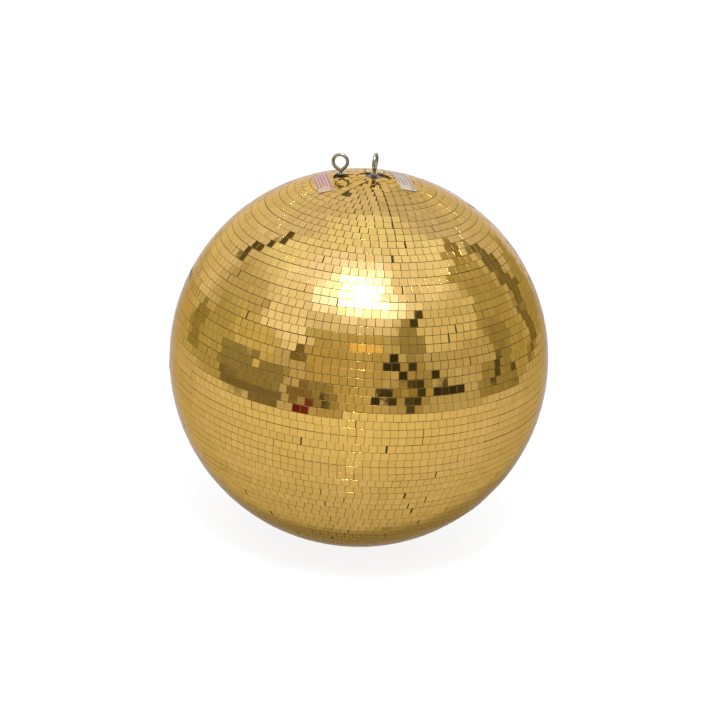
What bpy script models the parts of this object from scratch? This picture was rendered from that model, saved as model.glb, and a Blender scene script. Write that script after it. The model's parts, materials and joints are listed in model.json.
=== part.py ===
"""A 50 cm gold mirror ball with its two eyebolts, in metres, +Z up.

The origin is the hook seat of the main eye: the inner top of its wire loop, which the ball hangs
from. Heights in the script are measured from the ball's centre, which lies straight below it.
"""
import math

import bmesh
import bpy
from mathutils import Matrix, Vector

# Driving dimensions
BALL_RADIUS = 0.250  # over the mirror facets
ROWS_PER_HALF = 38  # rows of 10 mm facets from the equator to a pole
ROWS_PER_BAND = 4
GLASS = 0.0015  # thickness of a facet
CORE_WALL = 0.003
GAP = 0.0003  # between touching pieces
SEGMENTS = 32  # round the ball
ROUND = 24  # round a washer or a bore

WIRE_RADIUS = 0.00225  # eyebolt wire
LOOP_RADIUS = 0.00925  # eye loop, to the middle of its wire
NECK_DROP = 0.0121  # from the loop's centre to the point where its two sides meet
NECK_BEND = 0.005  # bend radius where the shank turns into the loop
EYE_RISE = 0.0303  # top of the main eye above the ball
TIP_GAP = 0.0024  # from the neck to the wire's cut end, which stops just clear of the shank
SHANK = 0.042  # below the neck
WIRE_BEND_STEPS = 5
WIRE_LOOP_STEPS = 26
SAFETY_OFFSET = -0.0432  # safety eye, along X from the main axis
SAFETY_DROP = 0.0049  # safety eye below the main eye

CROWN_ROWS = 2  # rows left bare round the main eye
BOSS_RADIUS = 0.057
BOSS_HEIGHT = 0.236  # flat underside of the crown boss
TURNING_HOLE = 0.003  # radius, round the main eyebolt
CLAMPED_HOLE = 0.0026  # radius, round the safety eyebolt
SAFETY_SEAT = 0.2423  # floor of the flat seat cut for the safety eye's washer
SEAT_RADIUS = 0.008
PLATE_RADIUS = 0.054
PLATE = 0.003
WASHER_BORE = 0.00265
SMALL_WASHER = (0.005, 0.001)  # outer radius and thickness
PENNY_WASHER = (0.010, 0.0015)
NUT_FLATS = 0.008
NUT = 0.004
NUT_BORE = 0.00255

JOINT_RING = 0.0025
JOINT_RING_HALF = 0.012
LABEL = (0.075, 0.020, 0.0003)  # length, width and thickness
LABEL_GRID = (8, 2)  # cells along and across
LEFT_LABEL = ((-0.063, -0.019), math.radians(-74))  # middle seen from above, and heading
RIGHT_LABEL = ((0.036, 0.009), math.radians(-70))
CUT_PAST = 0.01  # how far a cutter runs past what it cuts
SHARP_EDGE = math.radians(30)

# Worked out
ROW_ANGLE = math.pi / 2 / ROWS_PER_HALF
BAND_ANGLE = ROWS_PER_BAND * ROW_ANGLE
BANDS_PER_HALF = (ROWS_PER_HALF - CROWN_ROWS) // ROWS_PER_BAND
GLASS_INNER = BALL_RADIUS - GLASS
CORE_OUTER = GLASS_INNER - GAP
CORE_INNER = CORE_OUTER - CORE_WALL
CROWN = CORE_OUTER * math.sin(BANDS_PER_HALF * BAND_ANGLE)  # height of the flat crown
HOOK_SEAT = BALL_RADIUS + EYE_RISE - 2 * WIRE_RADIUS
MAIN_LOOP = HOOK_SEAT + WIRE_RADIUS - LOOP_RADIUS  # height of the main loop's centre
MAIN_NECK = MAIN_LOOP - NECK_DROP
BALL_CENTRE = Vector((0, 0, -HOOK_SEAT))


def cleared_scene():
    """Removes every object and returns the collections for the parts and for the cutters."""
    for obj in list(bpy.data.objects):
        bpy.data.objects.remove(obj)
    collections = []
    for name in ("mirror_ball", "cutters"):
        collection = bpy.data.collections.new(name)
        bpy.context.scene.collection.children.link(collection)
        collections.append(collection)
    return collections


def finish(name, colour, roughness, metallic):
    material = bpy.data.materials.new(name)
    material.use_nodes = True
    shader = material.node_tree.nodes["Principled BSDF"]
    shader.inputs["Base Color"].default_value = (*colour, 1)
    shader.inputs["Roughness"].default_value = roughness
    shader.inputs["Metallic"].default_value = metallic
    material.diffuse_color = (*colour, 1)
    return material


def axis_empty(name, location):
    empty = bpy.data.objects.new(name, None)
    empty.location = location
    bpy.context.scene.collection.objects.link(empty)
    return empty


def place(name, data, material, parent, height=0.0):
    """A new object for a part, at this height above the ball's centre, on its parent's axis."""
    obj = bpy.data.objects.new(name, data)
    data.materials.append(material)
    obj.parent = parent
    obj.location.z = height
    PARTS.objects.link(obj)
    return obj


def turned(name, profile, material, parent, height=0.0, segments=ROUND, closed=True):
    """A solid of revolution about its parent's axis. The profile, as (radius, height) points, runs
    down its outer side. An open profile starts and ends on the axis."""
    points = [(radius, 0, z) for radius, z in profile]
    count = len(points)
    edges = [(i, (i + 1) % count) for i in range(count if closed else count - 1)]
    mesh = bpy.data.meshes.new(name)
    mesh.from_pydata(points, edges, [])
    obj = place(name, mesh, material, parent, height)
    screw = obj.modifiers.new("turn", "SCREW")
    screw.axis = "Z"
    screw.angle = 2 * math.pi
    screw.steps = segments
    screw.render_steps = segments
    screw.use_merge_vertices = True
    screw.merge_threshold = 0.0001
    return obj


def cylinder_cutter(name, radius, low, high, parent):
    """A wire cylinder on its parent's axis that only cuts, from one height to another."""
    mesh = bpy.data.meshes.new(name)
    shape = bmesh.new()
    bmesh.ops.create_cone(
        shape, cap_ends=True, segments=ROUND, radius1=radius, radius2=radius, depth=high - low
    )
    shape.to_mesh(mesh)
    shape.free()
    cutter = bpy.data.objects.new(name, mesh)
    cutter.parent = parent
    cutter.location.z = (low + high) / 2
    cutter.hide_render = True
    cutter.display_type = "WIRE"
    CUTTERS.objects.link(cutter)
    return cutter


def cut(obj, *cutters):
    for cutter in cutters:
        boolean = obj.modifiers.new(cutter.name, "BOOLEAN")
        boolean.operation = "DIFFERENCE"
        boolean.solver = "EXACT"
        boolean.object = cutter


def on_sphere(radius, latitude):
    """A profile point, as (radius, height)."""
    return radius * math.cos(latitude), radius * math.sin(latitude)


def core_shell(name, side, before, after, material, parent):
    """Half of the hollow core. side is 1 for the upper half and -1 for the lower one, whose
    profile is turned over and read backwards. before and after are the points at its pole."""
    rim = GAP / 2
    steps = range(BANDS_PER_HALF, 0, -1)
    outer = [on_sphere(CORE_OUTER, step * BAND_ANGLE) for step in steps]
    inner = [on_sphere(CORE_INNER, step * BAND_ANGLE) for step in range(1, BANDS_PER_HALF)]
    profile = before + outer + [(CORE_OUTER, rim), (CORE_INNER, rim)] + inner + after
    if side < 0:
        profile = [(radius, -z) for radius, z in reversed(profile)]
    closed = profile[0][0] > 0 and profile[-1][0] > 0
    return turned(name, profile, material, parent, segments=SEGMENTS, closed=closed)


def mirror_band(name, side, band, material, parent):
    """A belt of four rows of facets round the ball. band counts from the equator."""
    trim = GAP / 2 / BALL_RADIUS
    low = band * BAND_ANGLE + trim
    high = (band + 1) * BAND_ANGLE - trim
    profile = [
        on_sphere(BALL_RADIUS, high),
        on_sphere(BALL_RADIUS, low),
        on_sphere(GLASS_INNER, low),
        on_sphere(GLASS_INNER, high),
    ]
    if side < 0:
        profile = [(radius, -z) for radius, z in reversed(profile)]
    return turned(name, profile, material, parent, segments=SEGMENTS)


def washer(name, size, underside, material, parent):
    outer, thickness = size
    profile = [(outer, thickness), (outer, 0), (WASHER_BORE, 0), (WASHER_BORE, thickness)]
    return turned(name, profile, material, parent, height=underside)


def hex_nut(name, underside, bore, material, parent):
    mesh = bpy.data.meshes.new(name)
    shape = bmesh.new()
    corner = NUT_FLATS / math.sqrt(3)
    bmesh.ops.create_cone(
        shape, cap_ends=True, segments=6, radius1=corner, radius2=corner, depth=NUT
    )
    shape.to_mesh(mesh)
    shape.free()
    obj = place(name, mesh, material, parent, underside + NUT / 2)
    cut(obj, bore)
    return obj


def arc(centre, radius, start, end, count):
    """Points on an arc in the XZ plane, as (x, z), with angles counted from +X towards +Z."""
    points = []
    for i in range(count + 1):
        angle = start + (end - start) * i / count
        points.append((centre[0] + radius * math.cos(angle), centre[1] + radius * math.sin(angle)))
    return points


def eye_route():
    """The middle of an eyebolt's wire, as (x, z) from the loop's centre: up the shank, round the
    loop and back towards the neck, where it stops clear of the shank."""
    lean = math.asin(LOOP_RADIUS / NECK_DROP)  # of the loop's straight sides, from upright
    side = math.sqrt(NECK_DROP**2 - LOOP_RADIUS**2)
    bend_start = -NECK_DROP - NECK_BEND * math.tan(lean / 2)
    bend = arc((NECK_BEND, bend_start), NECK_BEND, math.pi, math.pi - lean, WIRE_BEND_STEPS)
    loop = arc((0, 0), LOOP_RADIUS, -lean, math.pi + lean, WIRE_LOOP_STEPS)
    back = side - TIP_GAP
    tip = (loop[-1][0] + back * math.sin(lean), loop[-1][1] - back * math.cos(lean))
    return [(0, -NECK_DROP - SHANK)] + bend + loop + [tip]


def eyebolt(name, loop_height, turn, material, parent):
    """A bent-wire eyebolt. turn is the angle of its loop's plane about Z, from the XZ plane."""
    curve = bpy.data.curves.new(name, "CURVE")
    curve.dimensions = "3D"
    curve.bevel_depth = WIRE_RADIUS
    curve.bevel_resolution = 4
    curve.use_fill_caps = True
    route = eye_route()
    spline = curve.splines.new("POLY")
    spline.points.add(len(route) - 1)
    for point, (x, z) in zip(spline.points, route):
        point.co = (x, 0, z, 1)
    obj = place(name, curve, material, parent, loop_height)
    obj.rotation_euler.z = turn
    return obj


def label(name, centre, heading, material, parent):
    """A paper label bent over the facets. centre is its middle, as (x, y) seen from above, and
    heading the direction of its length about Z."""
    length, width, thickness = LABEL
    up = Vector((*centre, math.sqrt(BALL_RADIUS**2 - centre[0] ** 2 - centre[1] ** 2))).normalized()
    across = up.cross(Vector((math.cos(heading), math.sin(heading), 0))).normalized()
    along = across.cross(up)
    mesh = bpy.data.meshes.new(name)
    shape = bmesh.new()
    stretch = Matrix.Diagonal((length, width, 1, 1))
    columns, rows = LABEL_GRID
    bmesh.ops.create_grid(shape, x_segments=columns, y_segments=rows, size=0.5, matrix=stretch)
    for vertex in shape.verts:
        flat = up * BALL_RADIUS + along * vertex.co.x + across * vertex.co.y
        vertex.co = flat.normalized() * (BALL_RADIUS + GAP)
    shape.to_mesh(mesh)
    shape.free()
    obj = place(name, mesh, material, parent)
    solidify = obj.modifiers.new("paper", "SOLIDIFY")
    solidify.thickness = thickness
    solidify.offset = 1
    return obj


def shade_round():
    """Applies the modifiers of every mesh part, and shades it smooth but for its sharp edges."""
    bpy.context.view_layer.update()
    graph = bpy.context.evaluated_depsgraph_get()
    meshes = {
        obj: bpy.data.meshes.new_from_object(obj.evaluated_get(graph))
        for obj in PARTS.objects
        if obj.type == "MESH"
    }
    for obj, mesh in meshes.items():
        obj.modifiers.clear()
        obj.data = mesh
        mesh.shade_smooth()
        mesh.set_sharp_from_angle(angle=SHARP_EDGE)


def build():
    gold = finish("gold_mirror", (0.83, 0.60, 0.25), 0.06, 1.0)
    plastic = finish("core_plastic", (0.06, 0.05, 0.04), 0.55, 0.0)
    zinc = finish("zinc_steel", (0.60, 0.58, 0.50), 0.35, 1.0)
    pink_paper = finish("pink_label_paper", (0.85, 0.72, 0.66), 0.6, 0.0)
    grey_paper = finish("grey_label_paper", (0.74, 0.72, 0.68), 0.6, 0.0)

    centre = axis_empty("ball_centre", BALL_CENTRE)
    main_axis = axis_empty("main_eye_axis", BALL_CENTRE)
    safety_axis = axis_empty("safety_eye_axis", BALL_CENTRE + Vector((SAFETY_OFFSET, 0, 0)))

    # The hollow core, the ring that joins its halves and the plate under its crown
    boss = [(BOSS_RADIUS, BOSS_HEIGHT), (TURNING_HOLE, BOSS_HEIGHT), (TURNING_HOLE, CROWN)]
    upper_core = core_shell("upper_core_shell", 1, [], boss, plastic, centre)
    inner_pole = [on_sphere(CORE_INNER, BANDS_PER_HALF * BAND_ANGLE), (0, CORE_INNER)]
    core_shell("lower_core_shell", -1, [(0, CORE_OUTER)], inner_pole, plastic, centre)
    ring_top = CORE_INNER - GAP - JOINT_RING_HALF * math.tan(BAND_ANGLE / 2)
    ring_profile = [
        (ring_top, JOINT_RING_HALF),
        (CORE_INNER - GAP, 0),
        (ring_top, -JOINT_RING_HALF),
        (ring_top - JOINT_RING, -JOINT_RING_HALF),
        (ring_top - JOINT_RING, JOINT_RING_HALF),
    ]
    turned("equator_joint_ring", ring_profile, plastic, centre, segments=SEGMENTS)
    plate_top = BOSS_HEIGHT - GAP
    plate_profile = [
        (PLATE_RADIUS, plate_top),
        (PLATE_RADIUS, plate_top - PLATE),
        (TURNING_HOLE, plate_top - PLATE),
        (TURNING_HOLE, plate_top),
    ]
    plate = turned("reinforcement_plate", plate_profile, zinc, centre)

    # The mirror skin, in belts from the crown down
    bands = {}
    for side, half in ((1, "upper"), (-1, "lower")):
        for band in range(BANDS_PER_HALF):
            name = f"mirror_band_{half}_{band + 1}"
            bands[name] = mirror_band(name, side, band, gold, centre)
    cap_edge = BANDS_PER_HALF * BAND_ANGLE + GAP / 2 / BALL_RADIUS
    cap = [(0, BALL_RADIUS), on_sphere(BALL_RADIUS, cap_edge)]
    cap += [on_sphere(GLASS_INNER, cap_edge), (0, GLASS_INNER)]
    cap = [(radius, -z) for radius, z in reversed(cap)]
    turned("mirror_band_bottom_cap", cap, gold, centre, segments=SEGMENTS, closed=False)

    # The flat seat and the holes for the safety eyebolt
    seat = cylinder_cutter("safety_seat", SEAT_RADIUS, SAFETY_SEAT, BALL_RADIUS, safety_axis)
    hole_span = (BOSS_HEIGHT - CUT_PAST, SAFETY_SEAT + CUT_PAST)
    hole = cylinder_cutter("safety_hole", CLAMPED_HOLE, *hole_span, safety_axis)
    cut(upper_core, seat, hole)
    cut(plate, hole)
    cut(bands[f"mirror_band_upper_{BANDS_PER_HALF}"], seat)

    # Each eyebolt and its stack of washers and nuts, from the outside in
    plate_under = plate_top - PLATE
    bolt_end = MAIN_NECK - SAFETY_DROP - SHANK
    for eye, axis, seat_height, loop_height, turn, top_washer in (
        ("main", main_axis, CROWN, MAIN_LOOP, math.pi / 2, PENNY_WASHER),
        ("safety", safety_axis, SAFETY_SEAT, MAIN_LOOP - SAFETY_DROP, 0, SMALL_WASHER),
    ):
        bore = cylinder_cutter(f"{eye}_nut_bore", NUT_BORE, bolt_end, MAIN_NECK, axis)
        eyebolt(f"{eye}_eyebolt", loop_height, turn, zinc, axis)
        washer(f"{eye}_top_washer", top_washer, seat_height + GAP, zinc, axis)
        top_nut = seat_height + 2 * GAP + top_washer[1]
        hex_nut(f"{eye}_top_nut", top_nut, bore, zinc, axis)
        inner_washer = plate_under - GAP - SMALL_WASHER[1]
        washer(f"{eye}_inner_washer", SMALL_WASHER, inner_washer, zinc, axis)
        inner_nut = inner_washer - GAP - NUT
        hex_nut(f"{eye}_inner_nut", inner_nut, bore, zinc, axis)
        hex_nut(f"{eye}_lock_nut", inner_nut - GAP - NUT, bore, zinc, axis)

    label("left_label", *LEFT_LABEL, pink_paper, centre)
    label("right_label", *RIGHT_LABEL, grey_paper, centre)


PARTS, CUTTERS = cleared_scene()
build()
shade_round()
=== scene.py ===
"""The looks of the mirror ball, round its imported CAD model: every facet of glass, the eyebolts with
their nuts and washers, and the labels."""
import json
import math
import random

import bmesh
import bpy
import numpy as np
from mathutils import Matrix, Vector, noise


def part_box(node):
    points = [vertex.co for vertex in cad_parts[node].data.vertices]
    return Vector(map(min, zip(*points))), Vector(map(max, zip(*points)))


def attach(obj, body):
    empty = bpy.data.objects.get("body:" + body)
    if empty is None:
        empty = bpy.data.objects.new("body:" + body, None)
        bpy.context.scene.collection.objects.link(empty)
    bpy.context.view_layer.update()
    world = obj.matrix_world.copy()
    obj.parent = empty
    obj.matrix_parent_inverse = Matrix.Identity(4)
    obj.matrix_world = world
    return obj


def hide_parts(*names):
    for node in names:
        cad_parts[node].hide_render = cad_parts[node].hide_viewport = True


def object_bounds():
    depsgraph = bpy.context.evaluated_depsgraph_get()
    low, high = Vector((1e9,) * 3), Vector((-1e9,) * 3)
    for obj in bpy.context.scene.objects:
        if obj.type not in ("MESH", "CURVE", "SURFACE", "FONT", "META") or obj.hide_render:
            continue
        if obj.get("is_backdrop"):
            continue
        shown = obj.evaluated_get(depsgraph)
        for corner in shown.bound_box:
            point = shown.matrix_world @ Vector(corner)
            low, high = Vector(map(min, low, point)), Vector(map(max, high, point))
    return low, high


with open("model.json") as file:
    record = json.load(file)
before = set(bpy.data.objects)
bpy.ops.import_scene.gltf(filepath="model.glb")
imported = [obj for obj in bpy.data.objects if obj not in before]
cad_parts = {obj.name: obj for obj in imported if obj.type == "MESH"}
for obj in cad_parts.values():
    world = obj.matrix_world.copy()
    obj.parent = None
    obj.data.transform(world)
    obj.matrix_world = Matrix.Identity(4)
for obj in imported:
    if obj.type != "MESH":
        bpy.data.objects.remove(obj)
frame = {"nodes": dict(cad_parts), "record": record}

cad_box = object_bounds()

# ---------------------------------------------------------------- sizes, in metres

# The ball
BALL_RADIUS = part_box("mirror_band_upper_1")[1].x
FLOOR_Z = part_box("mirror_band_bottom_cap")[0].z
CENTRE = Vector((0, 0, FLOOR_Z + BALL_RADIUS))
ROWS_PER_HALF = 38
ROWS_PER_BAND = 4
CROWN_ROWS = 2  # left bare round the main eye, and one band at the bottom
BANDS_PER_HALF = (ROWS_PER_HALF - CROWN_ROWS) // ROWS_PER_BAND
ROW_ANGLE = math.pi / 2 / ROWS_PER_HALF

# A facet, and how truly they are laid
FACET = 0.0100
FACET_THICKNESS = 0.0015
FACET_EDGE = 0.00027  # width of the rounded edge
JOINT = 0.00017  # between the facets of a strip
STRIP_LENGTHS = ((31, 2, 3), (24, 4, 8), (0, 8, 14))  # from this row up, fewest and most facets
FACET_TILT = math.radians(0.36)  # typical, as are the tilts, turns and shifts below
STRIP_TILT = math.radians(0.24)
ODD_TILT = math.radians(2.2)  # of the facets and strips that are laid badly
ODD_FACETS = 0.018  # share of the facets that are, and of the strips
ODD_STRIPS = 0.035
FACET_TURN = math.radians(0.42)
STRIP_TURN = math.radians(0.12)
STRIP_SHIFT = 0.00010  # across the row
MOST_SHIFT = 2  # times the typical one
ROW_SHIFT = 0.00007
MIDDLE_TONE = 0.5  # of tones from 0 to 1
FACET_SHADE = 0.09  # spread of the tones
STRIP_SHADE = 0.07
GAP_POWER = 3  # makes most gaps between strips narrow, and a few wide
SMALLEST_GAP = 0.03  # where the widest is 1, before they share out a row's spare length
STRIP_SINK = 0.00022  # most that a strip lies under its neighbours
SEAM_ROW = 24  # from this row up to the crown, the strips end on one meridian
SEAM_ANGLE = math.radians(-69.4)
SEAM_WIDTH = (0.0001, 0.0008)  # least and most
EASE_ROW = 31  # from this row up, strips are straighter than their rows
EASE = 0.4  # by this share of the row's bend
CROWN_FACETS = (-175, -137, -99, -61, -23)  # angles in degrees of those laid in front of the main eye
MISSING = ((-0.0527, 0.0025), (-0.0245, -0.0594))  # (x, y) of facets that have come off the top half
SIDE_SEED = 1000  # keeps the random draws of the two halves apart
CROWN_SEED = 5

BACKING_RADIUS = BALL_RADIUS - FACET_THICKNESS - 0.00014
BACKING_THICKNESS = 0.00012
BACKING_CELLS = 144  # round the ball
BACKING_POLE = 0.002  # radians left open, so that no face is a sliver

# The eyebolts, their nuts and washers
WIRE_RADIUS = 0.00225
LOOP_RADIUS = 0.00925
NECK_DROP = 0.0121
NECK_BEND = 0.005
TIP_GAP = 0.0021
SHANK = 0.042
THREAD_RADIUS = 0.00245
THREAD_DEPTH = 0.00045
THREAD_PITCH = 0.0008
THREAD_START = 0.0022  # below the neck
THREAD_SLOPE = 1.3  # of its sides, where 1 would give sharp crests and roots
THREAD_ROOT = 0.1  # how much of them is cut off flat at the root
THREAD_STEPS = 8  # along the wire, for each turn of the thread
END_CHAMFER = 0.0006
FOOT_END = 0.80  # radius of the wire's two ends, as a share of the full radius
TIP_END = 0.86
WIRE_SIDES = 24
BEND_STEPS = 8  # along the neck's bend, and the loop
LOOP_STEPS = 64
MAIN_TURN = math.radians(86)  # of the main loop about Z
SAFETY_LEAN = math.radians(-6)  # the safety loop is bent a little to the left
NUT_BORE = 0.0025
NUT_LAND = 0.95  # flat top of a nut, as a share of its width across the flats
NUT_CHAMFER = math.radians(30)
NUT_MOUTH = 0.0003  # chamfer of the bore
WASHER_BORE = 0.00265
WASHER_BURR = 0.15  # rounding of its edges, as a share of its thickness
TURNED_STEPS = 96  # round a nut or a washer
SAFETY_AXIS = (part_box("safety_top_nut")[0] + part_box("safety_top_nut")[1]).xy / 2
SAFETY_CLEARING = 0.0098  # no facet's middle lies nearer the safety eyebolt
BACKING_CLEARING = 0.0078  # no cell of the backing does either

# The labels
PAPER = 0.00012
PAPER_RISE = 0.00022  # above the facets
PAPER_RIPPLE = 0.00007
RIPPLE_CELLS = (9, 3)  # waves along and across
RIPPLE_APART = 50  # sets the waves of the two labels apart
PAPER_CURL = 0.0005  # at two of the corners
CURL_REACH = 2 / 7  # of the label's length
CURL_ACROSS = 0.3  # how little it fades across the label
LABEL_CELLS = (75, 20)

SHARP_EDGE = math.radians(32)  # between smooth-shaded faces

# The camera
CAMERA_DISTANCE = 9 * BALL_RADIUS
CAMERA_ELEVATION = math.radians(22.3)
CAMERA_AZIMUTH = math.radians(6.4)  # from -Y towards +X
CAMERA_ROLL = math.radians(4.8)
CAMERA_LENS = 84.8
CAMERA_AIM = (0.0015, -0.0033)  # to the right and up from the ball's middle, in the picture's plane

FLOOR_HALF = 6.0


# ---------------------------------------------------------------- node helpers


class Nodes:
    """Adds nodes to a tree, with inputs given as values or as other nodes' sockets."""

    def __init__(self, tree):
        self.tree = tree

    def add(self, kind, inputs=(), **settings):
        node = self.tree.nodes.new(kind)
        for name, value in settings.items():
            setattr(node, name, value)
        for key, value in dict(inputs).items():
            if isinstance(value, bpy.types.NodeSocket):
                self.tree.links.new(value, node.inputs[key])
            else:
                node.inputs[key].default_value = value
        return node

    def math(self, operation, *values):
        return self.add("ShaderNodeMath", enumerate(values), operation=operation).outputs[0]

    def place(self):
        return self.add("ShaderNodeTexCoord").outputs["Object"]

    def noise(self, scale, detail=4.0, vector=None):
        inputs = {"Scale": scale, "Detail": detail, "Vector": vector or self.place()}
        return self.add("ShaderNodeTexNoise", inputs).outputs["Fac"]

    def ramp(self, factor, stops):
        node = self.add("ShaderNodeValToRGB", {"Fac": factor})
        elements = node.color_ramp.elements
        while len(elements) < len(stops):
            elements.new(0.5)
        for element, (position, colour) in zip(elements, stops):
            element.position = position
            element.color = (*colour, 1)
        return node.outputs["Color"]

    def remap(self, value, start, end, low, high, smooth=False):
        """Takes start to end, clamped, to low to high."""
        inputs = {"Value": value, "From Min": start, "From Max": end, "To Min": low, "To Max": high}
        kind = "SMOOTHSTEP" if smooth else "LINEAR"
        return self.add("ShaderNodeMapRange", inputs, interpolation_type=kind).outputs[0]

    def mix(self, factor, first, second, blend="MIX"):
        node = self.add("ShaderNodeMix", data_type="RGBA", blend_type=blend)
        for key, value in ((0, factor), (6, first), (7, second)):
            if isinstance(value, bpy.types.NodeSocket):
                self.tree.links.new(value, node.inputs[key])
            elif key == 0:
                node.inputs[key].default_value = value
            else:
                node.inputs[key].default_value = (*value, 1)
        return node.outputs[2]

    def bump(self, height, distance, strength=1.0):
        inputs = {"Height": height, "Distance": distance, "Strength": strength}
        return self.add("ShaderNodeBump", inputs).outputs["Normal"]


def new_material(name):
    """A material, its node builder and its Principled shader."""
    material = bpy.data.materials.new(name)
    material.use_nodes = True
    return material, Nodes(material.node_tree), material.node_tree.nodes["Principled BSDF"]


def set_inputs(nodes, shader, **sockets):
    """Sets or links the shader's inputs, given with _ for spaces."""
    for name, value in sockets.items():
        target = shader.inputs[name.replace("_", " ")]
        if isinstance(value, bpy.types.NodeSocket):
            nodes.tree.links.new(value, target)
        else:
            target.default_value = value


# ---------------------------------------------------------------- materials


def facet_face_material():
    """Gold-tinted mirror glass: each facet a little different, with a faint film and flecks."""
    material, nodes, shader = new_material("gold_mirror_face")
    tone = nodes.add("ShaderNodeAttribute", attribute_name="facet_tone").outputs["Fac"]
    gold = nodes.ramp(
        tone,
        [(0.0, (0.530, 0.318, 0.068)), (0.5, (0.600, 0.372, 0.086)), (1.0, (0.665, 0.425, 0.108))],
    )
    film = nodes.ramp(nodes.noise(420.0, 6.0), [(0.42, (1.0, 1.0, 1.0)), (0.75, (0.90, 0.92, 0.95))])
    fleck = nodes.ramp(nodes.noise(1300.0, 2.0), [(0.76, (1.0, 1.0, 1.0)), (0.80, (0.45, 0.42, 0.36))])
    colour = nodes.mix(1.0, nodes.mix(1.0, gold, film, "MULTIPLY"), fleck, "MULTIPLY")
    set_inputs(
        nodes,
        shader,
        Base_Color=colour,
        Metallic=1.0,
        Roughness=0.03,
        Specular_Tint=(0.92, 0.76, 0.46, 1.0),
        Normal=nodes.bump(nodes.noise(160.0, 1.0), 0.00002, 0.6),
    )
    return material


def facet_edge_material():
    """The rounded edges of the glass, bright where they catch a light."""
    material, nodes, shader = new_material("gold_mirror_edge")
    tone = nodes.add("ShaderNodeAttribute", attribute_name="facet_tone").outputs["Fac"]
    colour = nodes.ramp(tone, [(0.0, (0.44, 0.28, 0.07)), (1.0, (0.62, 0.42, 0.12))])
    set_inputs(nodes, shader, Base_Color=colour, Metallic=1.0, Roughness=0.10)
    return material


def facet_side_material():
    """The cut sides of the glass, dark amber between the facets."""
    material, nodes, shader = new_material("gold_mirror_side")
    colour = nodes.ramp(nodes.noise(700.0), [(0.3, (0.13, 0.080, 0.020)), (0.7, (0.26, 0.165, 0.045))])
    set_inputs(nodes, shader, Base_Color=colour, Roughness=0.4, Specular_IOR_Level=0.2)
    return material


def backing_material():
    """The strips' woven backing and its glue, seen in the joints and where a facet is missing."""
    material, nodes, shader = new_material("facet_backing")
    grain = nodes.noise(1500.0, 3.0)
    glue = nodes.noise(330.0, 4.0)
    colour = nodes.ramp(
        glue,
        [(0.32, (0.020, 0.014, 0.006)), (0.52, (0.062, 0.045, 0.018)), (0.68, (0.150, 0.115, 0.050))],
    )
    set_inputs(
        nodes,
        shader,
        Base_Color=colour,
        Roughness=nodes.remap(glue, 0.3, 0.7, 0.85, 0.50),
        Specular_IOR_Level=0.0,
        Normal=nodes.bump(grain, 0.0001),
    )
    return material


def core_material():
    """Matt dark plastic of the core, with smears of clear glue."""
    material, nodes, shader = new_material("core_plastic_moulded")
    grain = nodes.noise(1200.0, 4.0)
    glue = nodes.noise(110.0, 5.0)
    colour = nodes.ramp(glue, [(0.40, (0.016, 0.012, 0.007)), (0.62, (0.070, 0.052, 0.024))])
    set_inputs(
        nodes,
        shader,
        Base_Color=colour,
        Roughness=nodes.remap(glue, 0.0, 1.0, 0.75, 0.50),
        Specular_IOR_Level=0.0,
        Normal=nodes.bump(grain, 0.00015),
    )
    return material


def zinc_material(name, clean, tinted, roughness):
    """Zinc plate on steel, satin and mottled. clean and tinted are the colours it wanders between."""
    material, nodes, shader = new_material(name)
    mottle = nodes.noise(900.0, 6.0)
    wear = nodes.noise(160.0, 4.0)
    base = nodes.mix(nodes.remap(wear, 0.38, 0.62, 0.0, 1.0, smooth=True), clean, tinted)
    dirt = nodes.ramp(mottle, [(0.30, (0.55, 0.52, 0.46)), (0.58, (1.0, 1.0, 1.0))])
    set_inputs(
        nodes,
        shader,
        Base_Color=nodes.mix(1.0, base, dirt, "MULTIPLY"),
        Metallic=1.0,
        Roughness=nodes.remap(mottle, 0.2, 0.8, roughness + 0.16, roughness - 0.06),
        Normal=nodes.bump(mottle, 0.00005),
    )
    return material


def label_material(name, paper, ink, bars):
    """Printed paper. bars are plain marks along it, as (middle across, half width, start, end), each
    from 0 to 1 over the label."""
    material, nodes, shader = new_material(name)
    place = nodes.add("ShaderNodeAttribute", attribute_name="label_place").outputs["Vector"]
    parts = nodes.add("ShaderNodeSeparateXYZ", {0: place})
    along, across = parts.outputs["X"], parts.outputs["Y"]
    printed = 0.0
    for middle, half, start, end in bars:
        inside = nodes.math("COMPARE", across, middle, half)
        length = nodes.math("COMPARE", along, (start + end) / 2, (end - start) / 2)
        printed = nodes.math("MAXIMUM", printed, nodes.math("MULTIPLY", inside, length))
    fibre = nodes.noise(2600.0, 5.0)
    stain = nodes.ramp(nodes.noise(70.0, 3.0), [(0.35, tuple(0.84 * c for c in paper)), (0.65, paper)])
    press = nodes.remap(nodes.noise(700.0, 3.0), 0.35, 0.6, 0.45, 1.0)
    set_inputs(
        nodes,
        shader,
        Base_Color=nodes.mix(nodes.math("MULTIPLY", printed, press), stain, ink),
        Roughness=nodes.remap(fibre, 0.3, 0.7, 0.45, 0.65),
        Normal=nodes.bump(fibre, 0.00003),
    )
    return material


def floor_material():
    """Pale and evenly lit from under itself, so that only a faint shadow lies on it."""
    material, nodes, shader = new_material("white_floor")
    colour = nodes.ramp(
        nodes.noise(3.0, 3.0), [(0.3, (0.115, 0.115, 0.115)), (0.7, (0.125, 0.125, 0.125))]
    )
    set_inputs(
        nodes,
        shader,
        Base_Color=colour,
        Roughness=0.9,
        Specular_IOR_Level=0.0,
        Emission_Color=(1.0, 1.0, 1.0, 1.0),
        Emission_Strength=0.86,
    )
    return material


# ---------------------------------------------------------------- camera and studio


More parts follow.
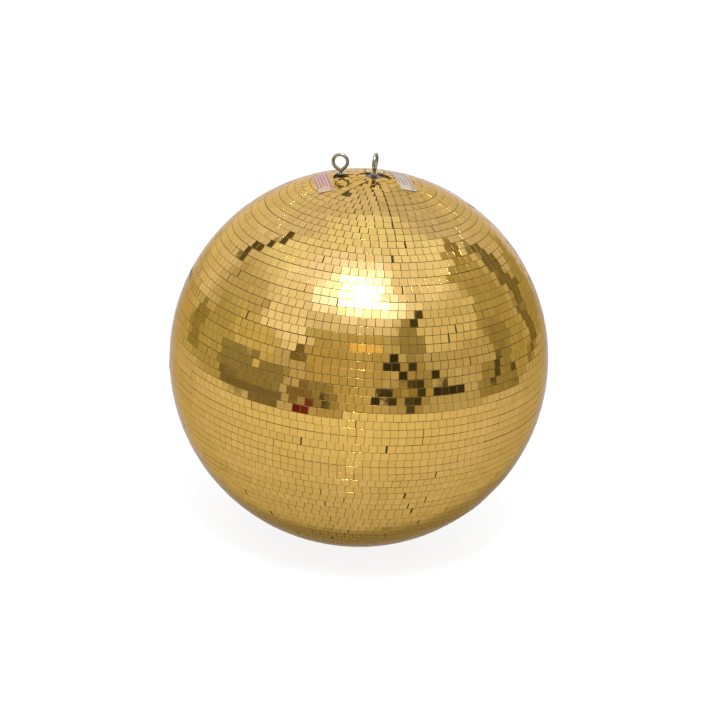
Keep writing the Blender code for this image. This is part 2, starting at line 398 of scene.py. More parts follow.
def add_camera():
    camera = bpy.data.objects.new("camera", bpy.data.cameras.new("camera"))
    bpy.context.scene.collection.objects.link(camera)
    camera.data.lens = CAMERA_LENS
    level = math.cos(CAMERA_ELEVATION)
    towards = Vector(
        (math.sin(CAMERA_AZIMUTH) * level, -math.cos(CAMERA_AZIMUTH) * level, math.sin(CAMERA_ELEVATION))
    )
    turn = towards.to_track_quat("Z", "Y").to_matrix().to_4x4()
    turn = turn @ Matrix.Rotation(CAMERA_ROLL, 4, "Z")
    aim = turn @ Vector((CAMERA_AIM[0], CAMERA_AIM[1], 0))
    camera.matrix_world = Matrix.Translation(CENTRE + towards * CAMERA_DISTANCE + aim) @ turn
    bpy.context.scene.camera = camera


# What stands round the ball, as (azimuth, elevation, half width, half height, softness, colour).
# Angles are in degrees as seen from the ball, with azimuth from -Y towards +X. Later entries cover
# earlier ones.
WALL = (0.82, 0.81, 0.85)
STUDIO = [
    # the ceiling, and the walls that the soft box lights
    (0, 78, 180, 26, 26, (1.40, 1.54, 1.98)),
    (0, 66, 70, 11, 13, (1.62, 1.74, 3.00)),
    (-46, 36, 15, 11, 12, (1.44, 1.52, 2.10)),
    (72, 35, 22, 11, 6, (1.08, 1.12, 1.20)),
    (0, 44, 34, 6, 6, (1.25, 1.30, 1.80)),
    (64, 60, 24, 12, 8, (1.44, 1.52, 2.15)),
    (-160, 32, 44, 26, 14, (1.12, 1.17, 1.75)),
    (160, 27, 18, 30, 12, (0.95, 1.00, 1.50)),
    (-64, 15, 18, 6, 4, (0.96, 0.94, 0.74)),
    # the soft box, with its lamp behind the cloth
    (2, 60, 36, 9, 12, (2.4, 2.8, 5.4)),
    (5, 58, 22, 6, 8, (8.0, 9.0, 12.5)),
    (6.4, 60, 3, 2, 1, (200.0, 196.0, 188.0)),
    # the wall in front
    (2, 32.5, 32, 2.8, 1.6, (0.82, 0.86, 0.74)),
    (-2, 10, 20, 20, 5, (0.79, 0.72, 0.52)),
    (8, 9, 6, 18, 3, (0.84, 0.79, 0.64)),
    (9, 28, 10, 1.8, 1.2, (1.45, 1.20, 0.72)),
    (39, 28, 6, 13, 2, (0.52, 0.50, 0.38)),
    # a sofa and a shelf on the left
    (-92, 0, 9, 15, 5, (0.70, 0.70, 0.54)),
    (-110, -3, 6, 6, 3, (0.45, 0.45, 0.30)),
    (-60, -4, 21.5, 11, 1.0, (0.45, 0.44, 0.34)),
    (-60, -10.5, 21, 3.5, 0.8, (0.31, 0.29, 0.21)),
    (-30, 17, 2.2, 5, 1, (0.33, 0.27, 0.17)),
    (-28, -4, 5, 5, 1, (0.34, 0.28, 0.19)),
    (-22.5, -9.5, 1.5, 4.5, 0.5, (0.25, 0.03, 0.05)),
    (-12, -3, 9, 6, 2.5, (0.48, 0.45, 0.34)),
    (-13, -4, 1.6, 2.8, 0.6, (0.10, 0.10, 0.09)),
    (-8.5, -5, 2.2, 1.2, 0.6, (0.15, 0.14, 0.12)),
    # the tripod, its camera and the boxes round it
    (40, 4, 11, 11, 2, (0.64, 0.59, 0.43)),
    (30, 2.5, 8, 2.6, 0.8, (0.46, 0.41, 0.26)),
    (26.5, -4, 1.3, 5, 0.4, (0.07, 0.07, 0.06)),
    (45, 11, 1.3, 3, 0.4, (0.08, 0.08, 0.07)),
    (59, 3, 1.2, 4, 0.4, (0.08, 0.08, 0.07)),
    (31, 17.2, 7.2, 2.6, 0.5, (0.06, 0.06, 0.05)),
    (33, 11.5, 1.8, 2.8, 0.5, (0.06, 0.06, 0.05)),
    (42, 20, 1.2, 3, 0.5, (0.12, 0.12, 0.10)),
    (19.3, 13, 1.1, 3, 0.4, (0.12, 0.12, 0.10)),
    (19.8, 0.5, 1.8, 4.6, 0.4, (0.05, 0.05, 0.04)),
    (42, 1, 4.6, 7, 0.6, (0.09, 0.09, 0.07)),
    (41, 3, 1.0, 1.6, 0.5, (0.50, 0.45, 0.30)),
    (36, -4.5, 4.0, 4.3, 0.6, (0.12, 0.12, 0.10)),
    (33, -2.5, 1.0, 1.2, 0.4, (0.55, 0.50, 0.34)),
    (53, 8, 2.1, 4.4, 0.5, (0.07, 0.07, 0.06)),
    (55.2, 0.6, 1.8, 2.6, 0.4, (0.06, 0.06, 0.05)),
    (65, -0.6, 1.9, 2, 0.4, (0.06, 0.06, 0.05)),
    (46.5, 39.8, 5.5, 1.6, 0.6, (0.10, 0.10, 0.08)),
    # screens and a stand on the right, and a stand on the left
    (111, 19, 14, 29, 2.2, (0.66, 0.64, 0.48)),
    (104, 4, 7, 15, 4, (0.47, 0.45, 0.31)),
    (90, -3, 5, 7, 3, (0.50, 0.46, 0.32)),
    (91, -6, 1.8, 4, 0.5, (0.10, 0.10, 0.08)),
    (96, 1, 2.2, 5, 0.6, (0.12, 0.12, 0.09)),
    (108, -5, 1.5, 1, 0.4, (0.12, 0.12, 0.09)),
    (118, -10.5, 4, 1.3, 0.4, (0.15, 0.14, 0.10)),
    (137, 14, 4, 22, 2, (0.30, 0.28, 0.20)),
    (131, 46, 4, 4, 2, (0.45, 0.40, 0.28)),
    (-113, 38, 2.4, 14, 1, (0.18, 0.16, 0.10)),
    (152, 0, 8, 8, 4, (0.58, 0.57, 0.50)),
]
# The floor's light by how far a direction points forwards, to -Y, from 0 for straight backwards to 1.
FLOOR_LIGHT = [
    (0.0, (0.57, 0.59, 0.80)),
    (0.12, (0.72, 0.73, 0.98)),
    (0.25, (0.84, 0.84, 1.08)),
    (0.5, (1.02, 1.02, 1.16)),
    (0.75, (1.10, 1.10, 1.13)),
    (1.0, (1.21, 1.21, 1.22)),
]
FLOOR_DOWN = (0.82, 1.04)  # how much of it is left straight down, and near the horizon
BALL_SHADOW = (0.0, 0.64, -0.77)  # direction of the ball's own shadow, which lies behind it
SHADOW_EDGE = (0.86, 0.97)
SHADOW_LIGHT = (0.36, 0.35, 0.38)
FLOOR_EDGE = (-14.0, -10.5)  # elevation of its front edge, on the left and on the right
FLOOR_TURN = 20  # azimuth from which the edge is level
EDGE_SOFT = 0.7
MOTTLE = (0.93, 1.07)
WARP = 5.0  # degrees by which the outlines wander
SOFT_LIGHT = (1.00, 0.97, 0.90)  # what matt surfaces are lit by
SOFT_SHARE = (0.7, 1.6)  # how much of it comes from 30 degrees down, and from 60 up


def window(nodes, value, middle, half, soft):
    """1 within half of middle and 0 beyond half + soft, with a smooth edge."""
    distance = nodes.math("ABSOLUTE", nodes.math("SUBTRACT", value, middle))
    return nodes.remap(distance, half, half + soft, 1.0, 0.0, smooth=True)


def shaded(nodes, colour, share):
    """The colour times the share."""
    grey = nodes.add("ShaderNodeCombineColor", {0: share, 1: share, 2: share}).outputs[0]
    return nodes.mix(1.0, colour, grey, "MULTIPLY")


def floor_light(nodes, direction, forward, elevation):
    """What the floor sends towards the ball, with the ball's own shadow on it."""
    floor = nodes.ramp(nodes.remap(forward, -1.0, 1.0, 0.0, 1.0), FLOOR_LIGHT)
    floor = shaded(nodes, floor, nodes.remap(elevation, -90.0, -20.0, *FLOOR_DOWN))
    inputs = {0: direction, 1: BALL_SHADOW}
    facing = nodes.add("ShaderNodeVectorMath", inputs, operation="DOT_PRODUCT").outputs["Value"]
    return nodes.mix(nodes.remap(facing, *SHADOW_EDGE, 0.0, 1.0, smooth=True), floor, SHADOW_LIGHT)


def room_light(nodes, direction, azimuth, elevation):
    """What the walls, the ceiling and what stands in the room send towards the ball."""
    wander = nodes.remap(nodes.noise(7.0, 3.0, direction), 0.25, 0.75, -WARP, WARP)
    azimuth = nodes.math("ADD", azimuth, wander)
    colour = WALL
    for az, el, width, height, soft, tint in STUDIO:
        across = window(nodes, azimuth, az, width, soft)
        upright = window(nodes, elevation, el, height, soft)
        colour = nodes.mix(nodes.math("MULTIPLY", across, upright), colour, tint)
    return shaded(nodes, colour, nodes.remap(nodes.noise(9.0, 4.0, direction), 0.3, 0.7, *MOTTLE))


def floor_cover(nodes, azimuth, elevation):
    """1 where the direction meets the floor, and 0 above its front edge."""
    edge = nodes.remap(azimuth, -FLOOR_TURN, FLOOR_TURN, *FLOOR_EDGE)
    below = nodes.math("SUBTRACT", edge, elevation)
    return nodes.remap(below, -EDGE_SOFT, EDGE_SOFT, 0.0, 1.0, smooth=True)


def add_studio():
    """The room that the facets mirror. Matt surfaces are lit by a plain soft light from above, and the
    camera sees plain white behind the ball."""
    world = bpy.data.worlds.new("studio")
    bpy.context.scene.world = world
    world.use_nodes = True
    world.node_tree.nodes.clear()
    nodes = Nodes(world.node_tree)
    direction = nodes.add("ShaderNodeTexCoord").outputs["Generated"]
    parts = nodes.add("ShaderNodeSeparateXYZ", {0: direction})
    forward = nodes.math("MULTIPLY", parts.outputs["Y"], -1.0)
    azimuth = nodes.math("DEGREES", nodes.math("ARCTAN2", parts.outputs["X"], forward))
    elevation = nodes.math("DEGREES", nodes.math("ARCSINE", parts.outputs["Z"]))
    room = room_light(nodes, direction, azimuth, elevation)
    floor = floor_light(nodes, direction, forward, elevation)
    colour = nodes.mix(floor_cover(nodes, azimuth, elevation), room, floor)
    soft = shaded(nodes, SOFT_LIGHT, nodes.remap(elevation, -30.0, 60.0, *SOFT_SHARE))
    path = nodes.add("ShaderNodeLightPath")
    colour = nodes.mix(path.outputs["Is Diffuse Ray"], colour, soft)
    colour = nodes.mix(path.outputs["Is Camera Ray"], colour, (1.0, 1.0, 1.0))
    background = nodes.add("ShaderNodeBackground", {"Color": colour, "Strength": 1.0})
    nodes.add("ShaderNodeOutputWorld", {"Surface": background.outputs[0]})


def add_floor():
    """The floor under the ball. The facets mirror the studio's own floor instead."""
    mesh = bpy.data.meshes.new("floor")
    shape = bmesh.new()
    middle = Matrix.Translation((0, 0, FLOOR_Z))
    bmesh.ops.create_grid(shape, x_segments=8, y_segments=8, size=FLOOR_HALF, matrix=middle)
    shape.to_mesh(mesh)
    shape.free()
    floor = bpy.data.objects.new("floor", mesh)
    mesh.materials.append(floor_material())
    floor.visible_glossy = False
    bpy.context.scene.collection.objects.link(floor)
    floor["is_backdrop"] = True


# ---------------------------------------------------------------- mesh helpers


def grid_mesh(name, points, wrap_rows=False, wrap_columns=False):
    """A mesh of quads over rows and columns of points, joined end to end where it wraps."""
    index = np.arange(points.shape[0] * points.shape[1]).reshape(points.shape[:2])
    if wrap_rows:
        index = np.vstack([index, index[:1]])
    if wrap_columns:
        index = np.hstack([index, index[:, :1]])
    quads = np.stack([index[:-1, :-1], index[:-1, 1:], index[1:, 1:], index[1:, :-1]], axis=-1)
    mesh = bpy.data.meshes.new(name)
    mesh.from_pydata(points.reshape(-1, 3).tolist(), [], quads.reshape(-1, 4).tolist())
    return mesh


def close_and_smooth(mesh):
    """Caps the open ends, turns the faces outwards, and shades it smooth but for its sharp edges."""
    shape = bmesh.new()
    shape.from_mesh(mesh)
    ends = [edge for edge in shape.edges if edge.is_boundary]
    if ends:
        bmesh.ops.holes_fill(shape, edges=ends, sides=0)
    bmesh.ops.recalc_face_normals(shape, faces=shape.faces)
    shape.to_mesh(mesh)
    shape.free()
    mesh.shade_smooth()
    mesh.set_sharp_from_angle(angle=SHARP_EDGE)


def add_piece(mesh, materials, body, slot, *nodes):
    """The mesh as a piece that rides on the body and stands for the CAD nodes."""
    for material in materials:
        mesh.materials.append(material)
    piece = bpy.data.objects.new(mesh.name, mesh)
    bpy.context.scene.collection.objects.link(piece)
    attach(piece, body)
    if nodes:
        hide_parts(*nodes)
    return piece


# ---------------------------------------------------------------- facets


def row_layout(row, crowned, chance):
    """Facets of one row, as (angle round the ball, strip number, turn, drop from the row's middle). The
    strips' ends share what is left over, and near the crown one of them always lies on the seam."""
    latitude = (row + 0.5) * ROW_ANGLE
    radius = BALL_RADIUS * math.cos(latitude)
    ease = EASE * math.sin(latitude) if row >= EASE_ROW else 0.0
    pitch = (FACET + JOINT) / (radius - FACET / 2 * (math.sin(latitude) - ease))
    seamed = crowned and row >= SEAM_ROW
    seam = chance.uniform(*SEAM_WIDTH) / radius if seamed else 0.0
    fewest, most = next(lengths for first, *lengths in STRIP_LENGTHS if row >= first)
    spare = 2 * math.pi - seam
    strips = []
    while spare > pitch:
        length = min(int(spare / pitch), chance.randint(fewest, most))
        wedge = ease * FACET * (length - 1) / 2 * pitch / radius
        strips.append((length, wedge))
        spare -= length * pitch + wedge
    shares = [chance.random() ** GAP_POWER + SMALLEST_GAP for _ in strips]
    angle = SEAM_ANGLE + seam if seamed else chance.uniform(0, 2 * math.pi)
    places = []
    for strip, ((length, wedge), share) in enumerate(zip(strips, shares)):
        for step in range(length):
            aside = (step - (length - 1) / 2) * pitch
            drop = ease * radius * aside**2 / 2
            places.append((angle + pitch / 2, strip, -ease * aside, drop))
            angle += pitch
        angle += wedge + max(0.0, spare) * share / sum(shares)
    return places


def facet_axes(angle, latitude, tilt=(0, 0), turn=0.0):
    """The facet's directions east, north and out, tilted and turned a little."""
    level = math.cos(latitude)
    out = Vector((level * math.cos(angle), level * math.sin(angle), math.sin(latitude)))
    east = Vector((-math.sin(angle), math.cos(angle), 0))
    north = out.cross(east)
    out = (out + east * tilt[0] + north * tilt[1]).normalized()
    east = (east - out * east.dot(out)).normalized()
    north = out.cross(east)
    cos, sin = math.cos(turn), math.sin(turn)
    return east * cos + north * sin, north * cos - east * sin, out


def facet_template():
    """Points, faces, material numbers and corner normals of one square of glass, about the middle of
    its front. The normals round its edges over, and a flat face has none of its own."""
    half = FACET / 2
    face = half - FACET_EDGE
    corners = ((-1, -1), (1, -1), (1, 1), (-1, 1))
    points = []
    for reach, depth in ((face, 0), (half, FACET_EDGE), (half, FACET_THICKNESS)):
        points += [(x * reach, y * reach, -depth) for x, y in corners]
    faces = [(0, 1, 2, 3)]
    kinds = [0]
    for ring in (0, 4):
        for i in range(4):
            after = (i + 1) % 4
            faces.append((ring + i, ring + 4 + i, ring + 4 + after, ring + after))
            kinds.append(1 if ring == 0 else 2)
    faces.append((11, 10, 9, 8))
    kinds.append(2)
    normals = np.zeros((len(faces), 4, 3))
    out = (0, 0, 1)
    for i, beside in enumerate(((0, -1, 0), (1, 0, 0), (0, 1, 0), (-1, 0, 0))):
        normals[1 + i] = (out, beside, beside, out)
    return np.array(points), np.array(faces), np.array(kinds), normals


def strip_manner(chance):
    """How a strip is laid: its tilt both ways, turn, shift, depth and shade."""
    lean = ODD_TILT if chance.random() < ODD_STRIPS else STRIP_TILT
    return (
        chance.gauss(0, lean),
        chance.gauss(0, lean),
        chance.gauss(0, STRIP_TURN),
        max(-MOST_SHIFT, min(MOST_SHIFT, chance.gauss(0, 1))) * STRIP_SHIFT,
        chance.uniform(0, STRIP_SINK),
        chance.gauss(0, STRIP_SHADE),
    )


def facet_row(side, row):
    """(axes, middle, tone) of every facet in a row. side is 1 above the equator and -1 below it."""
    chance = random.Random(SIDE_SEED * side + row)
    front = math.sqrt(BALL_RADIUS**2 - FACET**2 / 2)  # puts the corners on the ball's radius
    manners = {}
    row_shift = chance.gauss(0, ROW_SHIFT)
    for angle, strip, ease, drop in row_layout(row, side > 0, chance):
        if strip not in manners:
            manners[strip] = strip_manner(chance)
        lean_x, lean_y, turn, shift, sink, shade = manners[strip]
        wobble = ODD_TILT if chance.random() < ODD_FACETS else FACET_TILT
        tilt = (lean_x + chance.gauss(0, wobble), lean_y + chance.gauss(0, wobble))
        latitude = side * ((row + 0.5) * ROW_ANGLE + (row_shift + shift - drop) / BALL_RADIUS)
        axes = facet_axes(angle, latitude, tilt, turn + side * ease + chance.gauss(0, FACET_TURN))
        middle = CENTRE + facet_axes(angle, latitude)[2] * (front - sink)
        yield axes, middle, min(1.0, max(0.0, chance.gauss(MIDDLE_TONE + shade, FACET_SHADE)))


def crown_facets():
    """The few facets laid on the bare crown, as facet_row gives them."""
    chance = random.Random(CROWN_SEED)
    latitude = (ROWS_PER_HALF - CROWN_ROWS + 0.5) * ROW_ANGLE
    for angle in map(math.radians, CROWN_FACETS):
        tilt = (chance.gauss(0, ODD_TILT), chance.gauss(0, ODD_TILT))
        middle = CENTRE + facet_axes(angle, latitude)[2] * (BALL_RADIUS - STRIP_SINK)
        yield facet_axes(angle, latitude, tilt, chance.gauss(0, STRIP_TURN)), middle, MIDDLE_TONE


def is_laid(middle):
    """Whether a facet with this middle is on the ball, not missing and not at the safety eyebolt."""
    if middle.z < CENTRE.z:
        return True
    if (middle.xy - SAFETY_AXIS).length < SAFETY_CLEARING:
        return False
    return all((middle.xy - Vector(gone)).length > FACET / 2 for gone in MISSING)


def facet_mesh(name, side, rows):
    """All the facets of some rows, as one mesh with a tone for each."""
    template, faces, kinds, corner_normals = facet_template()
    points = []
    normals = []
    tones = []
    laid = [facet for row in rows for facet in facet_row(side, row) if is_laid(facet[1])]
    if side > 0 and ROWS_PER_HALF - CROWN_ROWS - 1 in rows:
        laid += crown_facets()
    for axes, middle, tone in laid:
        points.append(template @ np.array(axes) + np.array(middle))
        normals.append(corner_normals @ np.array(axes))
        tones.append(tone)
    count = len(points)
    offsets = np.arange(count)[:, None, None] * len(template)
    mesh = bpy.data.meshes.new(name)
    quads = (faces[None] + offsets).reshape(-1, 4)
    mesh.from_pydata(np.concatenate(points).tolist(), [], quads.tolist())
    mesh.polygons.foreach_set("material_index", np.tile(kinds, count))
    mesh.polygons.foreach_set("use_smooth", np.tile(kinds == 1, count))
    mesh.normals_split_custom_set(np.concatenate(normals).reshape(-1, 3).tolist())
    layer = mesh.attributes.new("facet_tone", "FLOAT", "FACE")
    layer.data.foreach_set("value", np.repeat(tones, len(faces)).astype(np.float32))
    return mesh


def add_facets():
    materials = [facet_face_material(), facet_edge_material(), facet_side_material()]
    for side, half in ((1, "upper"), (-1, "lower")):
        for band in range(BANDS_PER_HALF):
            rows = range(band * ROWS_PER_BAND, (band + 1) * ROWS_PER_BAND)
            mesh = facet_mesh(f"facets_{half}_{band + 1}", side, rows)
            add_piece(mesh, materials, "ball", "gold_mirror", f"mirror_band_{half}_{band + 1}")
    last_rows = range(ROWS_PER_HALF - CROWN_ROWS, ROWS_PER_HALF)
    mesh = facet_mesh("facets_bottom_cap", -1, last_rows)
    add_piece(mesh, materials, "ball", "gold_mirror", "mirror_band_bottom_cap")


def backing_rings(side):
    """Rings of points from the equator to the pole, or to the bare crown above."""
    rows = ROWS_PER_HALF - (CROWN_ROWS if side > 0 else 0)
    rings = []
    for row in range(rows + 1):
        latitude = side * min(row * ROW_ANGLE, math.pi / 2 - BACKING_POLE)
        ring = []
        for cell in range(BACKING_CELLS):
            out = facet_axes(2 * math.pi * cell / BACKING_CELLS, latitude)[2]
            ring.append(CENTRE + out * BACKING_RADIUS)
        rings.append(ring)
    return np.array(rings)


def clear_safety_eye(mesh):
    """Removes the cells of the upper backing under the safety eye's washer."""
    shape = bmesh.new()
    shape.from_mesh(mesh)
    near = [
        face
        for face in shape.faces
        if (face.calc_center_median().xy - SAFETY_AXIS).length < BACKING_CLEARING
    ]
    bmesh.ops.delete(shape, geom=near, context="FACES")
    shape.to_mesh(mesh)
    shape.free()


def add_backing():
    """The dark layer that the facets are stuck to, in two halves, open at the crown."""
    material = backing_material()
    for side, half in ((1, "upper"), (-1, "lower")):
        mesh = grid_mesh(f"facet_backing_{half}", backing_rings(side)[::side], wrap_columns=True)
        if side > 0:
            clear_safety_eye(mesh)
        mesh.shade_smooth()
        piece = add_piece(mesh, [material], "ball", "core_plastic")
        solid = piece.modifiers.new("thickness", "SOLIDIFY")
        solid.thickness = BACKING_THICKNESS
        solid.offset = -1


# ---------------------------------------------------------------- eyebolts, nuts and washers


def arc(centre, radius, start, end, count):
    """Points on an arc, as (x, z), with angles counted from +X towards +Z."""
    points = []
    for i in range(count + 1):
        angle = start + (end - start) * i / count
        points.append((centre[0] + radius * math.cos(angle), centre[1] + radius * math.sin(angle)))
    return points


def eye_route(lean):
    """The middle of the wire, as (x, z) from the loop's centre: up the shank, round the loop and back
    to the neck, about which the loop leans."""
    slope = math.asin(LOOP_RADIUS / NECK_DROP)  # of the loop's straight sides, from upright
    bend_start = -NECK_DROP - NECK_BEND * math.tan(slope / 2)
    foot = -NECK_DROP - SHANK
    steps = math.ceil((bend_start - foot) / THREAD_PITCH * THREAD_STEPS)
    shank = [(0, foot + (bend_start - foot) * i / steps) for i in range(steps)]
    bend = arc((NECK_BEND, bend_start), NECK_BEND, math.pi, math.pi - slope, BEND_STEPS)
    loop = arc((0, 0), LOOP_RADIUS, -slope, math.pi + slope, LOOP_STEPS)
    back = math.sqrt(NECK_DROP**2 - LOOP_RADIUS**2) - TIP_GAP
    for share in (0.5, 1 - END_CHAMFER / back, 1.0):
        reach = back * share
        tip = (-LOOP_RADIUS * math.cos(slope) + reach * math.sin(slope), -LOOP_RADIUS * math.sin(slope))
        loop.append((tip[0], tip[1] - reach * math.cos(slope)))
    leant = []
    for x, z in bend[1:] + loop:
        rise = z + NECK_DROP
        angle = lean * min(1.0, max(0.0, rise / NECK_BEND + 0.5))
        cos, sin = math.cos(angle), math.sin(angle)
        leant.append((x * cos + rise * sin, rise * cos - x * sin - NECK_DROP))
    return np.array(shank + [bend[0]] + leant)


def wire_radii(route, angles):
    """The wire's radius at each point of its route and angle round it: threads up to near the neck."""
    height = route[:, 1, None]
    turn = height / THREAD_PITCH + angles[None] / (2 * math.pi)
    ridge = np.clip(THREAD_SLOPE * np.abs(2 * (turn % 1.0) - 1) - THREAD_ROOT, 0, 1)
    thread = THREAD_RADIUS - THREAD_DEPTH * (1 - ridge)
    cover = np.clip((-NECK_DROP - THREAD_START - height) / THREAD_PITCH, 0, 1)
    from_foot = np.clip((height - height[0]) / END_CHAMFER, 0, 1)
    radii = WIRE_RADIUS + (thread - WIRE_RADIUS) * cover
    radii *= FOOT_END + (1 - FOOT_END) * from_foot
    radii[-1] *= TIP_END
    return radii


def add_eyebolt(name, body, turn, lean, material):
    """The bent-wire eyebolt that stands for the CAD node of this name. turn is the angle of its loop's
    plane about Z, from the XZ plane."""
    route = eye_route(lean)
    angles = np.arange(WIRE_SIDES) * 2 * math.pi / WIRE_SIDES
    radii = wire_radii(route, angles)
    ahead = np.gradient(route, axis=0)
    ahead /= np.linalg.norm(ahead, axis=1)[:, None]
    sideways = radii * np.cos(angles)
    flat = route[:, 0, None] + ahead[:, 1, None] * sideways
    high = route[:, 1, None] - ahead[:, 0, None] * sideways
    deep = radii * np.sin(angles)
    nut_low, nut_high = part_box(name.replace("eyebolt", "top_nut"))
    axis = (nut_low + nut_high) / 2
    points = np.stack(
        [
            axis.x + flat * math.cos(turn) - deep * math.sin(turn),
            axis.y + flat * math.sin(turn) + deep * math.cos(turn),
            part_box(name)[1].z - WIRE_RADIUS - LOOP_RADIUS + high,
        ],
        axis=-1,
    )
    mesh = grid_mesh(f"{name}_wire", points, wrap_columns=True)
    close_and_smooth(mesh)
    add_piece(mesh, [material], body, "zinc_steel", name)


def turned_mesh(name, axis, profile_at):
    """A ring round the axis, through the closed profile (radius, height) of each angle."""
    rings = []
    for step in range(TURNED_STEPS):
        angle = 2 * math.pi * step / TURNED_STEPS
        cos, sin = math.cos(angle), math.sin(angle)
        rings.append([(axis.x + r * cos, axis.y + r * sin, z) for r, z in profile_at(angle)])
    mesh = grid_mesh(name, np.array(rings), wrap_rows=True, wrap_columns=True)
    close_and_smooth(mesh)
    return mesh


def add_nut(node, body, material):
    """A hex nut with both ends chamfered, in the place of its CAD node."""
    low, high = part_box(node)
    corner = max(high.x - low.x, high.y - low.y) / 2
    first = 0.0 if high.x - low.x > high.y - low.y else math.pi / 6
    flat = corner * math.cos(math.pi / 6)
    land = NUT_LAND * flat

    def profile(angle):
        side = flat / math.cos((angle - first) % (math.pi / 3) - math.pi / 6)
        drop = (side - land) * math.tan(NUT_CHAMFER)
        return [
            (NUT_BORE, low.z + NUT_MOUTH),
            (NUT_BORE + NUT_MOUTH, low.z),
            (land, low.z),
            (side, low.z + drop),
            (side, high.z - drop),
            (land, high.z),
            (NUT_BORE + NUT_MOUTH, high.z),
            (NUT_BORE, high.z - NUT_MOUTH),
        ]

    mesh = turned_mesh(f"{node}_hex", ((low + high) / 2).xy, profile)
    add_piece(mesh, [material], body, "zinc_steel", node)


def add_washer(node, body, material):
    """A stamped washer, rounded on its upper side, in the place of its CAD node."""
    low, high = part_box(node)
    outer = (high.x - low.x) / 2
    burr = WASHER_BURR * (high.z - low.z)

    def profile(_):
        return [
            (WASHER_BORE, low.z + burr),
            (WASHER_BORE + burr, low.z),
            (outer - burr, low.z),
            (outer, low.z + burr),
            (outer, high.z - 2 * burr),
            (outer - 0.6 * burr, high.z - 0.6 * burr),
            (outer - 2 * burr, high.z),
            (WASHER_BORE + burr, high.z),
            (WASHER_BORE, high.z - burr),
        ]

    mesh = turned_mesh(f"{node}_disc", ((low + high) / 2).xy, profile)
    add_piece(mesh, [material], body, "zinc_steel", node)


def body_of_node(node):
    bodies = frame["record"]["behaviour"]["bodies"]
    return next(body for body, nodes in bodies.items() if node in nodes)


def add_hardware():
    wire_zinc = zinc_material("zinc_wire", (0.36, 0.35, 0.25), (0.32, 0.29, 0.16), 0.26)
    dull_zinc = zinc_material("zinc_dull", (0.19, 0.145, 0.060), (0.150, 0.115, 0.045), 0.34)
    bright_zinc = zinc_material("zinc_bright", (0.52, 0.53, 0.46), (0.45, 0.42, 0.33), 0.22)
    add_eyebolt("main_eyebolt", "suspension", MAIN_TURN, 0.0, wire_zinc)
    add_eyebolt("safety_eyebolt", "safety_eye", 0.0, SAFETY_LEAN, wire_zinc)
    for eye in ("main", "safety"):
        for nut in ("top_nut", "inner_nut", "lock_nut"):
            node = f"{eye}_{nut}"
            add_nut(node, body_of_node(node), bright_zinc if eye == "main" else dull_zinc)
        for washer in ("top_washer", "inner_washer"):
            node = f"{eye}_{washer}"
            add_washer(node, body_of_node(node), dull_zinc)
    frame["nodes"]["reinforcement_plate"].material_slots[0].material = bright_zinc


# ---------------------------------------------------------------- labels and core


def label_axes(node):
    """(up, along, across, length, width) of a CAD label: up from the ball's centre through its middle,
    along it towards the front, and its size."""
    corners = np.array([vertex.co - CENTRE for vertex in frame["nodes"][node].data.vertices])
    middle = corners.mean(axis=0)
    up = Vector(middle).normalized()
    spread = np.linalg.svd(corners - middle)[2]
    along = Vector(spread[0])
    along = (along - up * along.dot(up)).normalized()
    if along.y > 0:
        along = -along
    across = up.cross(along)
    lengths = (corners - middle) @ np.array(along)
    widths = (corners - middle) @ np.array(across)
    return up, along, across, np.ptp(lengths), np.ptp(widths)


def corner_curl(u, v, corners):
    """How far the paper has lifted at this share of its length and width."""
    lift = 0.0
    for along, across in corners:
        distance = math.hypot(u - along, CURL_ACROSS * (v - across)) / CURL_REACH
        lift += PAPER_CURL * max(0.0, 1 - distance) ** 2
    return lift


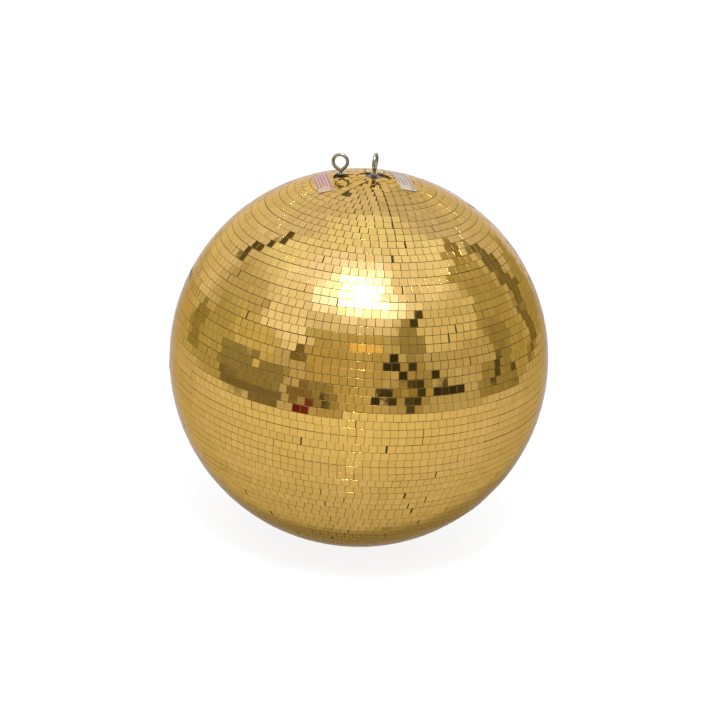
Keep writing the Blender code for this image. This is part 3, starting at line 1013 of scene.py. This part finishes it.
def add_label(node, slot, material, curled):
    """A paper label laid over the facets. curled are the corners that have lifted, as (along, across)."""
    up, along, across, length, width = label_axes(node)
    columns, rows = LABEL_CELLS
    points = np.empty((columns + 1, rows + 1, 3))
    places = []
    for i in range(columns + 1):
        for j in range(rows + 1):
            u, v = i / columns, j / rows
            flat = up * BALL_RADIUS + along * (u - 0.5) * length + across * (v - 0.5) * width
            wave = Vector((u * RIPPLE_CELLS[0], v * RIPPLE_CELLS[1], up.x * RIPPLE_APART))
            lift = PAPER_RIPPLE * noise.noise(wave) + corner_curl(u, v, curled)
            points[i, j] = CENTRE + flat.normalized() * (BALL_RADIUS + PAPER_RISE + lift)
            places.append((u, v, 0))
    mesh = grid_mesh(f"{node}_paper", points)
    layer = mesh.attributes.new("label_place", "FLOAT_VECTOR", "POINT")
    layer.data.foreach_set("vector", np.array(places, np.float32).ravel())
    mesh.shade_smooth()
    piece = add_piece(mesh, [material], "ball", slot, node)
    paper = piece.modifiers.new("paper", "SOLIDIFY")
    paper.thickness = PAPER
    paper.offset = 1


def add_labels():
    pink = label_material(
        "label_print_pink",
        (0.36, 0.25, 0.155),
        (0.21, 0.055, 0.045),
        [
            (0.10, 0.055, 0.03, 0.84),
            (0.29, 0.055, 0.03, 0.82),
            (0.48, 0.055, 0.03, 0.76),
            (0.67, 0.055, 0.03, 0.80),
            (0.88, 0.065, 0.03, 0.95),
        ],
    )
    grey = label_material(
        "label_print_grey",
        (0.34, 0.28, 0.18),
        (0.065, 0.050, 0.040),
        [
            (0.14, 0.040, 0.04, 0.72),
            (0.38, 0.045, 0.04, 0.80),
            (0.62, 0.040, 0.04, 0.78),
            (0.86, 0.045, 0.04, 0.94),
        ],
    )
    add_label("left_label", "pink_label_paper", pink, ((1, 0), (0, 1)))
    add_label("right_label", "grey_label_paper", grey, ((1, 1), (0, 0)))


def dress_core():
    plastic = core_material()
    for node in ("upper_core_shell", "lower_core_shell", "equator_joint_ring"):
        frame["nodes"][node].material_slots[0].material = plastic


bpy.context.scene.view_settings.view_transform = "Standard"
add_camera()
add_studio()
add_floor()
add_facets()
add_backing()
add_hardware()
add_labels()
dress_core()

boxes = {"cad": cad_box, "visual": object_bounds()}
{name: [list(corner) for corner in box] for name, box in boxes.items()}
